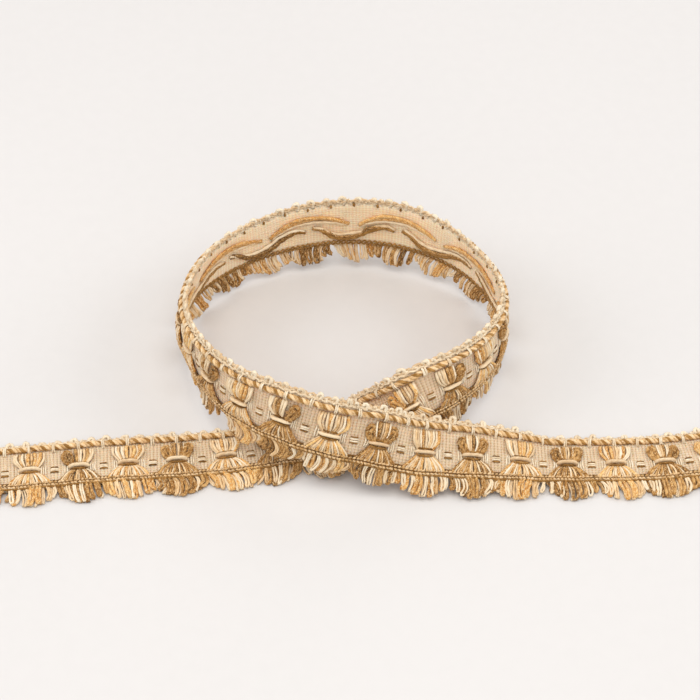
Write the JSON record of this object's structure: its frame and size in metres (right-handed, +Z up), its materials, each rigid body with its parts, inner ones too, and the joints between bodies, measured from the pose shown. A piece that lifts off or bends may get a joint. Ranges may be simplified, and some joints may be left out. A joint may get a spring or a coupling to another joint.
{
  "type": "fan edge trim",
  "caption": "Length of woven furnishing trim with bow-shaped yarn tufts, picots and a scalloped loop fringe, lying flat at both ends with one standing loop that crosses itself.",
  "frame": {"origin": "centre of the bounding box of the trim as it lies, on the surface that it rests on", "axes": "+X along the two flat tails, from the left cut end to the right one; +Y from the tails towards the far side of the loop; +Z up from the surface"},
  "size_m": [0.3079, 0.143, 0.0401],
  "materials": {
    "ground": "matt ribbed cream cotton weave, ribs across the width",
    "header": "two-ply twisted cord, tan and cream, soft sheen",
    "picot": "soft cream looped yarn, matt",
    "tie": "flat cream cord edged with brown thread, soft sheen",
    "chain": "dark brown twisted thread in two chain lines",
    "fringe": "looped gold, brown and cream yarn, satin sheen",
    "floats": "loose gold, brown and cream yarn, satin sheen",
    "tuft_gold": "gold and cream viscose yarn, satin sheen",
    "tuft_brown": "light brown and cream viscose yarn, satin sheen"
  },
  "bodies": {
    "root": {"tape": "ground", "header_cord": "header", "picot_edge": "picot", "chain_band": "chain", "back_floats": "floats", "fringe": "fringe", "tie_cord": "tie", "fan_01": "tuft_brown", "fan_02": "tuft_gold", "fan_03": "tuft_brown", "fan_04": "tuft_gold", "fan_05": "tuft_brown", "fan_06": "tuft_gold", "fan_07": "tuft_brown", "fan_08": "tuft_gold", "fan_09": "tuft_brown", "fan_10": "tuft_gold", "fan_11": "tuft_brown", "fan_12": "tuft_gold", "fan_13": "tuft_brown", "fan_14": "tuft_gold", "fan_15": "tuft_brown", "fan_16": "tuft_gold", "fan_17": "tuft_brown", "fan_18": "tuft_gold", "fan_19": "tuft_brown", "fan_20": "tuft_gold", "fan_21": "tuft_brown", "fan_22": "tuft_gold", "fan_23": "tuft_brown", "fan_24": "tuft_gold", "fan_25": "tuft_brown", "fan_26": "tuft_gold", "fan_27": "tuft_brown", "fan_28": "tuft_gold", "fan_29": "tuft_brown", "fan_30": "tuft_gold", "fan_31": "tuft_brown", "fan_32": "tuft_gold", "fan_33": "tuft_brown", "fan_34": "tuft_gold", "fan_35": "tuft_brown", "fan_36": "tuft_gold"}
  },
  "joints": []
}
